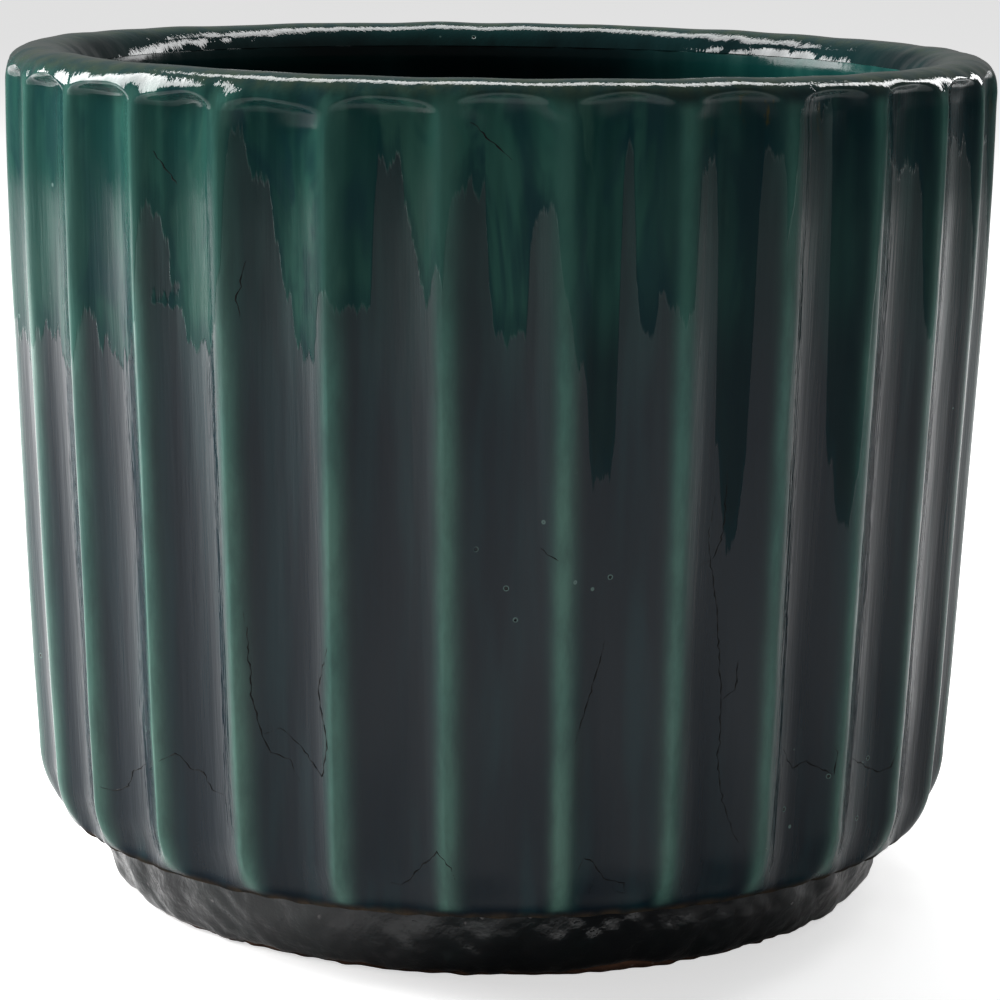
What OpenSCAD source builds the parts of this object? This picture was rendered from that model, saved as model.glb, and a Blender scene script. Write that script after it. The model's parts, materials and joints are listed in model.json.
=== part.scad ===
// Fluted, glazed terracotta planter: a barrel-shaped pot whose outside is cut
// with tall concave flutes that meet in narrow upright ridges. The clay wall
// stands on a foot ring, a slab with one drain hole closes the base, a rolled
// band caps the wall, and three glaze coats cover the outside, the planting
// cavity and the side of the foot.
//
// Frame: millimetres, +Z up. The origin is the centre of the foot's flat
// underside, and +Z is the axis of the pot.

/* [Overall size] */
// Outside diameter across the rim
rim_d = 400; // [360:5:440]
// Height from the ground to the crest of the rim
total_h = 340.4; // [300:0.2:380]
// Outside diameter across the ridges just above the rounded bottom corner
waist_d = 377; // [366:1:384]

/* [Flutes] */
// Number of flutes round the pot
flute_count = 29; // [24:1:32]
// Radius of the round tool that scoops each flute
flute_r = 36; // [30:1:44]
// Depth of a flute below the ridge tops
flute_depth = 6.2; // [3:0.1:8]
// Direction of the first ridge, measured round +Z from +X
first_ridge = 4.13; // [0:0.01:15]

/* [Bottom corner] */
// How far the rounded bottom corner draws in from the wall
corner_w = 16; // [8:1:20]
// Height of the rounded bottom corner
corner_h = 27.5; // [12:0.5:34]

/* [Rim] */
// Thickness of the rim, from its outside to its inside
rim_t = 32; // [26:1:36]
// Height of the roll that rounds the rim over
rim_roll_h = 14; // [10:1:18]
// Height of the separate rim band above the fluted wall
rim_band_h = 9.4; // [6:0.2:12]

/* [Floor and drainage] */
// Thickness of the clay floor slab
floor_t = 20.5; // [14:0.5:30]
// Radius of the floor slab, where the inside of the wall meets it
floor_r = 161; // [152:1:163]
// Widest radius inside the clay wall, just under the rim
bulge_r = 174; // [170:0.5:176]
// Height of that widest place
bulge_z = 312; // [290:1:318]
// Diameter of the drain hole
drain_d = 25; // [15:1:40]

/* [Foot] */
// Height of the foot ring
foot_h = 30.5; // [20:0.5:40]
// Outside radius of the foot ring under the body
foot_top_r = 164; // [163:1:168]
// Outside radius of the foot ring where it stands on the ground
foot_bottom_r = 152.5; // [146:0.5:156]
// Inside radius of the foot ring on the ground
foot_inner_r = 128; // [110:1:136]

/* [Glaze] */
// Thickness of the glaze coats
glaze_t = 1; // [0.6:0.1:1.6]
// Bare clay left below the glaze at the bottom of the foot
foot_bare_h = 2.5; // [1:0.5:6]

/* [Hidden] */
$fn = 180;

clay_color = [0.62, 0.33, 0.22];
corner_steps = 7;
roll_steps = 8;
cut_margin = 1; // overrun of the drain hole past each face of the floor

// Wall and rim
waist_r = waist_d / 2;
waist_z = foot_h + corner_h;      // top of the rounded corner
edge_r = waist_r - corner_w;      // bottom edge of the body, above the foot
rim_r = rim_d / 2;
rim_mid = rim_r - rim_t / 2;      // radius of the rim's crest
roll_z = total_h - rim_roll_h;    // height where the rim starts to roll over
band_z = total_h - rim_band_h;    // underside of the rim band
shoulder_z = roll_z - 46;         // above this the wall stands nearly upright
shoulder_r = rim_r - 1.2;
floor_z = foot_h + floor_t;       // top of the clay floor
cavity_top_r = rim_inner_r(glaze_t);

// Scoops
lean = atan((shoulder_r - waist_r) / (shoulder_z - waist_z));
scoop_z = foot_h - 12;            // bottom of each scoop
scoop_axis_r = waist_r + (scoop_z - waist_z) * tan(lean) + (flute_r - flute_depth);

// Foot
bare_top = [foot_bottom_r + 2, foot_bare_h]; // [radius, z] where the glaze ends
foot_low_flare = 5.5;             // outward from the foot's radius on the ground
foot_low_z = 7.5;
foot_high_inset = 2;              // inward from the foot's radius at its top
foot_high_z = 18;
foot_bore_r = foot_inner_r - 2;   // upright part of the foot's inside
foot_bore_z = 4;                  // height where that part starts

// Back of the outer glaze's blank, and of the core that is cut from it
skin_back_r = waist_r - flute_depth - glaze_t - 1.3;
skin_edge_r = edge_r - glaze_t - 0.5;
skin_edge_rise = 1;
skin_under_r = cavity_top_r + 1.2; // extra point along the blank's flat underside
back_bottom_z = waist_z + 4;      // below this both backs slant in to the edge
core_back_r = skin_back_r - 3;
core_top_z = band_z - 0.5;
core_edge_r = edge_r - glaze_t - 2;
core_edge_rise = 0.5;

bulge_glaze_drop = 0.2;           // the cavity glaze is widest this far below the clay

// The profile functions below give [radius, z] points. Inset is the distance
// inward from the glazed surface: 0 for the glaze, glaze_t for the clay.

// A point on the rim's roll
function roll_pt(angle, inset) = [
    rim_mid + (rim_t / 2 - inset) * cos(angle),
    roll_z + (rim_roll_h - inset) * sin(angle)];

// Angle on the roll at which it reaches the underside of the rim band
function band_angle(inset) = asin((band_z - roll_z) / (rim_roll_h - inset));

// The roll from the band's outer lower edge over the crest to its inner one
function rim_pts(inset) = let (start = band_angle(inset))
    [for (i = [0:roll_steps]) roll_pt(start + (180 - 2 * start) * i / roll_steps, inset)];

// Radius of the band's inner lower edge
function rim_inner_r(inset) = rim_pts(inset)[roll_steps][0];

// The rounded bottom corner, from just above the bottom edge up to the waist
function corner_pts(inset) = [
    for (i = [1:corner_steps]) let (angle = 90 - 90 * i / corner_steps)
        [edge_r + (corner_w - inset) * cos(angle), waist_z - corner_h * sin(angle)]];

// The outside from the bottom edge up to the start of the roll
function side_pts(inset) = concat(
    [[edge_r - inset, foot_h]],
    corner_pts(inset),
    [[shoulder_r - inset, shoulder_z], [rim_r - inset, roll_z]]);

// A back line, from its top down to the bottom edge
function back_pts(back_r, top_z, bottom_r, edge_rise) = [
    [back_r, top_z],
    [back_r, back_bottom_z],
    [bottom_r, foot_h + edge_rise],
    [bottom_r, foot_h]];

// The cavity side of the clay wall, from the floor's top up to the rim band
cavity_pts = [[floor_r, floor_z], [bulge_r, bulge_z], [cavity_top_r, band_z]];

// The foot's side above the bare clay, moved outward by grow
function foot_side(grow) = [
    [foot_bottom_r + foot_low_flare + grow, foot_low_z],
    [foot_top_r - foot_high_inset + grow, foot_high_z],
    [foot_top_r + grow, foot_h]];

// The same points in the opposite order
function reversed(points) = [for (i = [len(points) - 1:-1:0]) points[i]];

// All the flutes' scoops, half a pitch away from the ridges. Each is a round
// bar that leans out with the wall and runs out through the corner and the rim.
module scoops(radius) {
    for (i = [0:flute_count - 1])
        rotate([0, 0, first_ridge + (i + 0.5) * 360 / flute_count])
            translate([scoop_axis_r, 0, scoop_z])
                rotate([0, lean, 0])
                    cylinder(r = radius, h = total_h);
}

// Fluted clay wall
module body_wall() {
    color(clay_color)
        difference() {
            rotate_extrude()
                polygon(concat(
                    side_pts(glaze_t),
                    [rim_pts(glaze_t)[0]],
                    reversed(cavity_pts),
                    [[floor_r, foot_h]]));
            scoops(flute_r + glaze_t);
        }
}

// Rolled clay band that caps the wall, scalloped where the flutes run out
module rim_band() {
    color(clay_color)
        difference() {
            rotate_extrude() polygon(rim_pts(glaze_t));
            scoops(flute_r + glaze_t);
        }
}

// Clay floor with the drain hole
module floor_slab() {
    color([0.6, 0.32, 0.21])
        translate([0, 0, foot_h])
            difference() {
                cylinder(r = floor_r, h = floor_t);
                translate([0, 0, -cut_margin])
                    cylinder(d = drain_d, h = floor_t + 2 * cut_margin);
            }
}

// Clay ring that the body stands on
module foot_ring() {
    color([0.58, 0.3, 0.2])
        rotate_extrude()
            polygon(concat(
                [[foot_inner_r, 0], [foot_bottom_r, 0], bare_top],
                foot_side(0),
                [[foot_bore_r, foot_h], [foot_bore_r, foot_bore_z]]));
}

// Dark green glaze over the flutes, the rim band and the crest of the rim
module outer_glaze() {
    color([0.05, 0.2, 0.17])
        difference() {
            rotate_extrude()
                polygon(concat(
                    side_pts(0),
                    rim_pts(0),
                    [[skin_under_r, band_z]],
                    back_pts(skin_back_r, band_z, skin_edge_r, skin_edge_rise)));
            scoops(flute_r);
            // Fluted clay shape, with its back further in so that it cuts clean through
            difference() {
                rotate_extrude()
                    polygon(concat(
                        side_pts(glaze_t),
                        rim_pts(glaze_t),
                        back_pts(core_back_r, core_top_z, core_edge_r, core_edge_rise)));
                scoops(flute_r + glaze_t);
            }
        }
}

// Near-black green glaze on the wall and floor of the planting cavity
module inner_glaze() {
    color([0.03, 0.09, 0.09])
        rotate_extrude()
            polygon(concat(
                [[drain_d / 2, floor_z]],
                cavity_pts,
                [[rim_inner_r(0), band_z],
                 [bulge_r - glaze_t, bulge_z - bulge_glaze_drop],
                 [floor_r - glaze_t, floor_z + glaze_t],
                 [drain_d / 2, floor_z + glaze_t]]));
}

// Dark glaze on the side of the foot, stopping short of the ground
module foot_glaze() {
    color([0.06, 0.1, 0.11])
        rotate_extrude()
            polygon(concat([bare_top], foot_side(glaze_t), reversed(foot_side(0))));
}

body_wall();
rim_band();
floor_slab();
foot_ring();
outer_glaze();
inner_glaze();
foot_glaze();
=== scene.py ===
# A fluted terracotta planter with a bottle-green glaze, a rolled rim, a drain hole and a foot ring.
# It stands on z = 0 with its axis on Z. The camera looks along +Y, so the front faces -Y and +X
# is on the viewer's right. Shapes are worked out in millimetres and stored in metres.
import json
import math
import bmesh
import bpy
import numpy as np
from mathutils import Matrix, Vector
from mathutils.bvhtree import BVHTree

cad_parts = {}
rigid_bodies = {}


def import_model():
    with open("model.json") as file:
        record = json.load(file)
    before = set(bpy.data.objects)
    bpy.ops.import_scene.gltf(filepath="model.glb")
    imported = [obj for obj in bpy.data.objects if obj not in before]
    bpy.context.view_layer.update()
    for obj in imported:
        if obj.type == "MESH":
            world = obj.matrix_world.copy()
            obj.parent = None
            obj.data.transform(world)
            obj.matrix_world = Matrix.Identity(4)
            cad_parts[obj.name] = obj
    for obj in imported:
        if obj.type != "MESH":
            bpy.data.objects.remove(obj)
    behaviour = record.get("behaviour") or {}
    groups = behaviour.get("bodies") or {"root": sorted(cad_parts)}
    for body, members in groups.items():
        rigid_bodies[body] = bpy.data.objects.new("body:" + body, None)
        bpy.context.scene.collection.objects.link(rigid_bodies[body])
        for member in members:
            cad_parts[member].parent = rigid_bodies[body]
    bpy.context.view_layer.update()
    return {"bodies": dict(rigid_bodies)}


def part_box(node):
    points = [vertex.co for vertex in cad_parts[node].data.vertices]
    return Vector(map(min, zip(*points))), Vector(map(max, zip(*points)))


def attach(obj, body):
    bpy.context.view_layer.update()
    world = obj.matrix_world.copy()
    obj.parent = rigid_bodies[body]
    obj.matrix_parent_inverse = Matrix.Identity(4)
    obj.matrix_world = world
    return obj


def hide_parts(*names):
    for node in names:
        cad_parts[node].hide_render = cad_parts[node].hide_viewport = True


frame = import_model()


# ---------------------------------------------------------------- dimensions, mm
def half_width(box):
    low, high = box
    return round((high[0] - low[0]) * 500, 0)


glaze_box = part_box("outer_glaze")
foot_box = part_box("foot_glaze")
slab_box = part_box("floor_slab")
RIM_R = half_width(glaze_box)
H = round(glaze_box[1][2] * 1000, 1)
FOOT_H = round(glaze_box[0][2] * 1000, 1)
FLOOR_Z = round(slab_box[1][2] * 1000, 1)
FLOOR_R = half_width(slab_box)
FOOT_TOP_R = half_width(foot_box)                  # over the glaze
GLAZE_T = 1.0
CLAY_INSET = GLAZE_T + 0.5                         # clay wall below the glaze surface

FLUTES = 29
STEP = 360.0 / FLUTES                              # degrees from ridge to ridge
RIDGE0 = 4.13                                      # angle of ridge 0, degrees
FLUTE_R, FLUTE_DEPTH = 36.0, 6.2
FRONT_RIDGE = -13                                  # ridge at the front's far left, counted from 0

WAIST_R, CORNER_W, CORNER_H = 188.5, 16.0, 27.5    # rounded corner under the wall
WAIST_Z = FOOT_H + CORNER_H
EDGE_R = WAIST_R - CORNER_W
RIM_T, ROLL_H = 32.0, 14.0
RIM_MID, ROLL_Z = RIM_R - RIM_T / 2, H - ROLL_H
LIP_R = RIM_R - 1.1                                # the lip shrank a little in firing
BAND_Z = H - 9.4                                   # bottom of the clay rim band
BAND_IN_R = RIM_MID - 14.03
BULGE_R, BULGE_Z = 174.0, 312.0                    # widest place of the clay inside
DRAIN_R = 12.5
FOOT_IN_R = 126.0

# height, radius of the ridge tops
WALL_LINE = [(0, WAIST_R - 2.7), (WAIST_Z, WAIST_R), (90, 190.4), (130, 192.1), (190, 194.8),
             (250, 197.4), (290, 198.5), (310, 198.8), (ROLL_Z, LIP_R), (H, LIP_R + 0.1)]
# height, inside radius of the clay
CLAY_INSIDE = [(FOOT_H, FLOOR_R), (FLOOR_Z, FLOOR_R), (BULGE_Z, BULGE_R), (BAND_Z, BAND_IN_R)]
# height, inside radius of the cavity glaze below the roll
CAVITY_LINE = [(FLOOR_Z + GLAZE_T, FLOOR_R - 0.6), (120, 163.6), (200, 167.2), (250, 169.4),
               (280, 170.3), (296, 170.4), (308, 169.9), (316, 169.1),
               (ROLL_Z - 2, RIM_MID - 15.84)]
# height, outside radius of the clay foot
FOOT_LINE = [(0, 152.5), (2.5, 154.5), (7.5, 158.0), (18, 162.0), (FOOT_H, FOOT_TOP_R - GLAZE_T)]


# ---------------------------------------------------------------- noise and blends
def waves(seed, theta, z, count, turns, rise):
    """Smooth noise, about -1 to 1: a sum of seeded cosine waves.

    turns is the range of waves round the pot, rise the range of radians per mm of height.
    """
    rng = np.random.default_rng(seed)
    total = np.zeros(np.broadcast(theta, z).shape)
    for _ in range(count):
        around = int(rng.integers(turns[0], turns[1] + 1))
        upward = rng.uniform(rise[0], rise[1]) * rng.choice([-1, 1])
        phase = rng.uniform(0, 2 * math.pi)
        total = total + np.cos(around * theta + upward * z + phase)
    return total / math.sqrt(count / 2.0) * 0.5


def smooth_min(a, b, width):
    near = np.clip(width - np.abs(a - b), 0, None) / width
    return np.minimum(a, b) - near * near * width * 0.25


def smooth_step(x, start, end):
    t = np.clip((x - start) / (end - start), 0, 1)
    return t * t * (3 - 2 * t)


def interp_table(x, table):
    places, values = zip(*table)
    return np.interp(x, places, values)


# ---------------------------------------------------------------- hand-cut flutes
# Every ridge wanders from its even place (degrees) and leans (degrees per 100 mm of height).
flute_rng = np.random.default_rng(29)
ridge_shift = flute_rng.normal(0, 0.32, FLUTES)
ridge_lean = flute_rng.normal(0, 0.16, FLUTES)
flute_deeper = flute_rng.normal(0, 0.35, FLUTES)
flute_lift = flute_rng.normal(0, 0.5, FLUTES)
flute_stop = -flute_rng.uniform(1.0, 6.0, FLUTES)  # top end of each flute under the lip, mm


def front_ridges(first, end):
    return (FRONT_RIDGE + np.arange(first, end)) % FLUTES


# The front ridges and flutes, from left to right, are placed one by one.
ridge_shift[front_ridges(0, 12)] = [
    0.55, -0.1, -0.08, 0.03, -0.2, -0.15, 0.05, 0.45, 0.3, -0.15, -0.3, 0.1]
ridge_lean[front_ridges(0, 12)] = [
    0.05, 0.2, -0.05, -0.4, -0.12, -0.3, -0.45, -0.33, -0.3, 0.0, 0.0, -0.2]
flute_stop[front_ridges(-1, 12)] = [
    -4.0, -5.5, -6.0, -6.8, -7.2, -5.0, -2.0, -1.6, -1.6, -1.6, -1.4, -1.4, -1.8]
flute_deeper[front_ridges(6, 11)] = [-0.2, -0.4, -0.8, -0.8, -0.8]


def wall_radius(z):
    """The line of the ridge tops, carried on through corner and roll."""
    return interp_table(z, WALL_LINE)


def columns(places):
    """Flute index and place across the flute (0 to 1) for each column round the pot."""
    return np.repeat(np.arange(FLUTES), len(places)), np.tile(places, FLUTES)


def column_angle(flute, across, z):
    """Angle in radians of a column at a height, following the wandering ridges."""
    rise = (z - 140.0) / 100.0
    after = (flute + 1) % FLUTES
    start = RIDGE0 + STEP * flute + ridge_shift[flute] + ridge_lean[flute] * rise
    end = RIDGE0 + STEP * (flute + 1) + ridge_shift[after] + ridge_lean[after] * rise
    return np.radians(start + (end - start) * across)


def flute_radius(flute, across, z, inset):
    """Radius of the round-bottomed cut; flutes are deeper at the bottom edge."""
    depth = FLUTE_DEPTH + flute_deeper[flute]
    centre = wall_radius(z) + FLUTE_R - depth - 2.2 * (1 - smooth_step(z, 36.0, 52.0))
    angle = np.radians((across - 0.5) * STEP)
    chord = np.sqrt(np.clip((FLUTE_R + inset) ** 2 - (centre * np.sin(angle)) ** 2, 0, None))
    return centre * np.cos(angle) - chord


def hand_marks(theta, z):
    """Slow hand-made unevenness of the wall, mm."""
    return (0.35 * waves(3, theta, z, 14, (2, 9), (0.002, 0.02))
            + 0.16 * waves(4, theta, z, 30, (12, 60), (0.004, 0.05)))


def ripple(theta, z):
    """Long upright runs in the glaze surface, mm."""
    return (0.045 * waves(5, theta, z, 40, (90, 260), (0.002, 0.02))
            + 0.03 * waves(6, theta, z, 30, (60, 200), (0.03, 0.12)))


def rim_noise(theta):
    return (0.45 * waves(11, theta, 0.0, 10, (1, 6), (0, 0))
            + 0.28 * waves(12, theta, 0.0, 14, (8, 34), (0, 0)))


# ---------------------------------------------------------------- mesh helpers
def polar(r, theta, z):
    r, theta, z = np.broadcast_arrays(r, theta, z)
    return np.stack([r * np.cos(theta), r * np.sin(theta), z], -1)


def grid_mesh(name, rings):
    """A closed smooth quad mesh from rings of points in mm; the last ring joins the first."""
    points = np.array(rings)
    row_count, column_count = points.shape[:2]
    here = np.arange(row_count * column_count).reshape(row_count, column_count)
    above = np.roll(here, -1, 0)
    quads = np.stack([here, np.roll(here, -1, 1), np.roll(above, -1, 1), above], -1).reshape(-1, 4)
    mesh = bpy.data.meshes.new(name)
    mesh.vertices.add(here.size)
    mesh.vertices.foreach_set("co", (points.reshape(-1, 3) / 1000.0).astype(np.float32).ravel())
    mesh.loops.add(quads.size)
    mesh.loops.foreach_set("vertex_index", quads.astype(np.int32).ravel())
    mesh.polygons.add(len(quads))
    mesh.polygons.foreach_set("loop_start", np.arange(0, quads.size, 4, dtype=np.int32))
    mesh.polygons.foreach_set("loop_total", np.full(len(quads), 4, np.int32))
    mesh.update(calc_edges=True)
    mesh.validate()
    mesh.polygons.foreach_set("use_smooth", np.ones(len(quads), bool))
    return link_object(name, mesh)


def link_object(name, data):
    obj = bpy.data.objects.new(name, data)
    bpy.context.scene.collection.objects.link(obj)
    return obj


def set_attribute(obj, name, values):
    layer = obj.data.attributes.new(name, "FLOAT", "POINT")
    layer.data.foreach_set("value", np.asarray(values, np.float32).ravel())


def tidy(obj):
    """Weld coinciding points and turn all faces outward."""
    bm = bmesh.new()
    bm.from_mesh(obj.data)
    bmesh.ops.remove_doubles(bm, verts=bm.verts, dist=1e-7)
    bmesh.ops.recalc_face_normals(bm, faces=bm.faces)
    bm.to_mesh(obj.data)
    bm.free()


# ---------------------------------------------------------------- fluted outside
def roll_end(inset):
    """Angle over the roll, in degrees, where its inner side comes down to the band line."""
    return 180 - math.degrees(math.asin((BAND_Z - ROLL_Z) / (ROLL_H - inset)))


def outside_stations(corner_count, wall_count, roll_angles, inset):
    """Height, radius, lift (0 on the wall, 1 on top of the roll), roll angle (-1 on the wall)."""
    tilts = np.linspace(0, 90, corner_count, endpoint=False)
    if not inset:
        tilts = np.insert(tilts, 1, 0.45)
    stations = []
    for tilt in tilts:
        t = math.radians(tilt)
        radius = EDGE_R + (CORNER_W - inset) * math.sin(t) - (inset if tilt == 0 else 0)
        stations.append((WAIST_Z - CORNER_H * math.cos(t), radius, 0.0, -1.0))
    for z in np.linspace(WAIST_Z, ROLL_Z, wall_count, endpoint=False):
        stations.append((z, wall_radius(z) - inset, 0.0, -1.0))
    for angle in [*roll_angles, roll_end(inset)]:
        t = math.radians(angle)
        out, up = math.cos(t), math.sin(t)
        # the outside of the roll is squarer than a circle
        reach, power = (LIP_R - RIM_MID, 2 / 2.6) if angle < 90 else (RIM_T / 2, 1.0)
        radius = RIM_MID + (reach - inset) * math.copysign(abs(out) ** power, out)
        stations.append((ROLL_Z + (ROLL_H - inset) * up ** power, radius, up, angle))
    return stations


def outside_rings(flute, across, corner_count, wall_count, roll_angles, inset=0.0):
    """Rings from the bottom edge to the inside of the rim, with their heights and roll angles.

    With no inset this is the glaze surface, which also gets the fine glaze marks.
    """
    stations = outside_stations(corner_count, wall_count, roll_angles, inset)
    stop = flute_stop[flute] / 7.0
    rings = []
    for z, radius, lift, angle in stations:
        on_roll = angle >= 0
        theta = column_angle(flute, across, z)
        uneven = hand_marks(theta, z)
        r = radius + uneven * (1 - lift)
        # the flute runs out under the lip along a slightly wavy arch
        top = 336.2 + 7.0 * stop + 0.45 * flute_lift[flute]
        top = top - 1.6 * np.abs(2 * across - 1) ** 4 + 0.7 * inset
        top = top - 1.1 * stop * waves(16, theta, z, 12, (18, 55), (0, 0))
        if angle <= 90:
            cut = flute_radius(flute, across, z, inset) + uneven
            cut = cut + (4.5 - 2.9 * stop) * smooth_step(z, top - 1.4, top + 4.2)
            r = smooth_min(r, cut, 1.5 if on_roll else 2.1)
        if not inset:
            # thick glaze over the flute ends, then upright ripple and a lumpy bead under the lip
            over = np.exp(-((z - top - 4.6) / 2.9) ** 2)
            over = over * np.clip(1 - np.abs(2 * across - 1) ** 2.5, 0, 1)
            lumps = 0.75 + 0.5 * waves(17, theta, 0.0, 14, (9, 60), (0, 0))
            r = r - 1.25 * stop * over * (1 - lift) * lumps
            bead = smooth_step(z, 319, 329) * (1 - smooth_step(lift, 0.9, 1.0))
            beading = 0.36 * waves(13, theta, z, 34, (20, 80), (0.08, 0.35)) - 0.2
            r = r + ripple(theta, z) * (1 - lift) + beading * bead
        calm = 1 - smooth_step(angle, 125, 158)
        if angle > 90:
            marks = (0.16 * waves(14, theta, z, 18, (3, 14), (0.02, 0.08))
                     + 0.025 * waves(15, theta, z, 20, (16, 40), (0.02, 0.08)))
            r = r + marks * calm * abs(math.cos(math.radians(angle)))
        ring_z = z + rim_noise(theta) * lift * calm
        if not (inset or on_roll):                 # the glaze sags at the bottom edge
            sag = 0.55 + 0.5 * waves(18, theta, 0.0, 22, (20, 110), (0, 0))
            ring_z = ring_z - sag * (1 - smooth_step(z, 31, 40))
        rings.append(polar(r, theta, ring_z))
    heights, angles = (np.array([s[i] for s in stations]) for i in (0, 3))
    return np.array(rings), heights, angles


# Lower edge of the second, greener coat on the flutes at the front, from the one left of
# FRONT_RIDGE to the right: (place across the flute, height in mm).
FRONT_DRIPS = [
    [(0, 232), (0.4, 222), (0.7, 236), (1, 228)],
    [(0, 228), (0.3, 236), (0.6, 224), (1, 219)],
    [(0, 240), (0.12, 247), (0.3, 239), (0.45, 232), (0.7, 230), (0.85, 238), (1, 244)],
    [(0, 262), (0.02, 280), (0.07, 288), (0.26, 288), (0.33, 279), (0.40, 272), (0.43, 256),
     (0.48, 246), (0.56, 240), (0.64, 236), (0.72, 243), (0.86, 240), (1, 256)],
    [(0, 280), (0.03, 288), (0.07, 304), (0.1, 318), (0.2, 319), (0.24, 308), (0.36, 304),
     (0.44, 296), (0.47, 280), (0.53, 276), (0.56, 262), (0.63, 258), (0.66, 244), (0.78, 240),
     (0.88, 243), (0.92, 262), (1, 268)],
    [(0, 258), (0.1, 256), (0.37, 258), (0.40, 312), (0.62, 312), (0.66, 294), (0.76, 284),
     (0.8, 270), (0.87, 264), (0.93, 276), (1, 266)],
    [(0, 266), (0.06, 300), (0.36, 306), (0.40, 250), (0.52, 252), (0.70, 248), (0.74, 292),
     (0.94, 300), (1, 268)],
    [(0, 268), (0.1, 244), (0.2, 240), (0.22, 206), (0.25, 197), (0.42, 194), (0.46, 202),
     (0.48, 240), (0.5, 322), (0.58, 320), (0.62, 256), (0.76, 250), (0.8, 262), (0.94, 266),
     (1, 250)],
    [(0, 252), (0.1, 262), (0.13, 310), (0.34, 312), (0.36, 240), (0.38, 208), (0.44, 200),
     (0.48, 180), (0.52, 173), (0.62, 172), (0.66, 180), (0.70, 206), (0.72, 250), (0.74, 316),
     (0.93, 310), (0.96, 250), (1, 262)],
    [(0, 326), (0.06, 332), (0.54, 330), (0.57, 240), (0.62, 205), (0.72, 198), (0.76, 178),
     (0.9, 173), (0.97, 182), (1, 240)],
    [(0, 262), (0.1, 326), (0.18, 328), (0.22, 308), (0.7, 304), (0.76, 300), (0.84, 258),
     (0.92, 236), (1, 236)],
    [(0, 240), (0.06, 308), (0.5, 314), (0.8, 306), (0.93, 262), (1, 240)],
    [(0, 226), (0.3, 300), (0.5, 310), (0.8, 310), (1, 240)],
]
DRIP_CELLS = 64


def random_drip(rng):
    points = [(0, rng.uniform(222, 250))]
    a = rng.uniform(0.15, 0.5)
    return points + [
        (a - 0.1, rng.uniform(225, 255)),
        (a, rng.choice([rng.uniform(160, 200), rng.uniform(275, 305)])),
        (a + 0.14, rng.uniform(225, 262)),
        (a + 0.36, rng.uniform(220, 270)),
        (1, rng.uniform(222, 250))]


def drip_edge(flute, across):
    """Height of the second coat's edge for each column, joined up from flute to flute."""
    rng = np.random.default_rng(77)
    places = np.linspace(0, 1, DRIP_CELLS + 1)
    lines = np.zeros((FLUTES, DRIP_CELLS + 1))
    for i in range(FLUTES):
        order = (i - FRONT_RIDGE + 1) % FLUTES
        points = FRONT_DRIPS[order] if order < len(FRONT_DRIPS) else random_drip(rng)
        line = np.pad(interp_table(places, points), 1, mode="edge")
        lines[i] = np.convolve(line, np.array([0.2, 0.6, 0.2]), "valid")
    ends = (np.roll(lines[:, -1], 1) + lines[:, 0]) / 2
    near_start = np.exp(-(places / 0.06) ** 2)
    near_end = np.exp(-((1 - places) / 0.06) ** 2)
    lines += ((ends - lines[:, 0])[:, None] * near_start
              + (np.roll(ends, -1) - lines[:, -1])[:, None] * near_end)
    cell = across * DRIP_CELLS
    whole = cell.astype(int)
    part = cell - whole
    return (lines[flute, np.rint(cell).astype(int)] * (1 - part)
            + lines[flute, np.minimum(whole + 1, DRIP_CELLS)] * part)


def build_outer_glaze():
    # columns lie closer together at the ridges
    even = np.linspace(0, 1, 33)[:-1]
    flute, across = columns(0.55 * even + 0.45 * (0.5 - 0.5 * np.cos(np.pi * even)))
    end = roll_end(0.0)
    angles = [*(66 * np.linspace(0, 1, 17, endpoint=False) ** 1.25),
              *np.linspace(66, end, 10)[:-1], end - 0.7]
    skin, heights, roll = outside_rings(flute, across, 15, 45, angles)
    under, _, _ = outside_rings(flute, across, 3, 4, [0, 12, 19, 25, 31, 38, 50, 90, 135],
                                inset=GLAZE_T)
    rings = np.concatenate([skin, under[::-1]])
    obj = grid_mesh("outer_glaze_skin", rings)

    def add(name, values):
        """Values on the glaze surface, zero on its underside."""
        everywhere = np.zeros(rings.shape[:2])
        everywhere[:len(skin)] = values
        set_attribute(obj, name, everywhere)

    z = heights[:, None]
    roll = roll[:, None]
    # thin glaze near the ridges, fading out at both ends of the wall
    from_ridge = np.minimum(across, 1 - across) * (2 * np.pi * wall_radius(z) / FLUTES)
    thin = np.exp(-(from_ridge / np.where(across < 0.5, 4.6, 3.1)) ** 2)
    add("ridge", thin * smooth_step(z, 33.0, 37.0) * (1 - smooth_step(z, 330.0, 335.0)))
    # depth inside the second coat, in 20 mm units, with two small islands on one front flute
    theta = column_angle(flute, across, z)
    edge = drip_edge(flute, across) + 3.5 * waves(21, theta, 0.0, 30, (60, 320), (0, 0))
    drip = (z - edge) / 20.0
    flat_isle = 1.0 - np.hypot((across - 0.34) / 0.2, (z - 256.5) / 3.4)
    tall_isle = 1.0 - np.hypot((across - 0.40) / 0.07, (z - 267) / 6.5)
    islands = np.maximum(drip, 0.5 * np.maximum(flat_isle, tall_isle))
    add("drip", np.where((flute - FRONT_RIDGE) % FLUTES == 2, islands, drip))
    add("roll", np.where(roll < 0, 0, 0.2 + roll / 180.0))
    add("uf", across)
    add("rnd", np.random.default_rng(8).random(FLUTES)[flute])
    return obj


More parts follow.
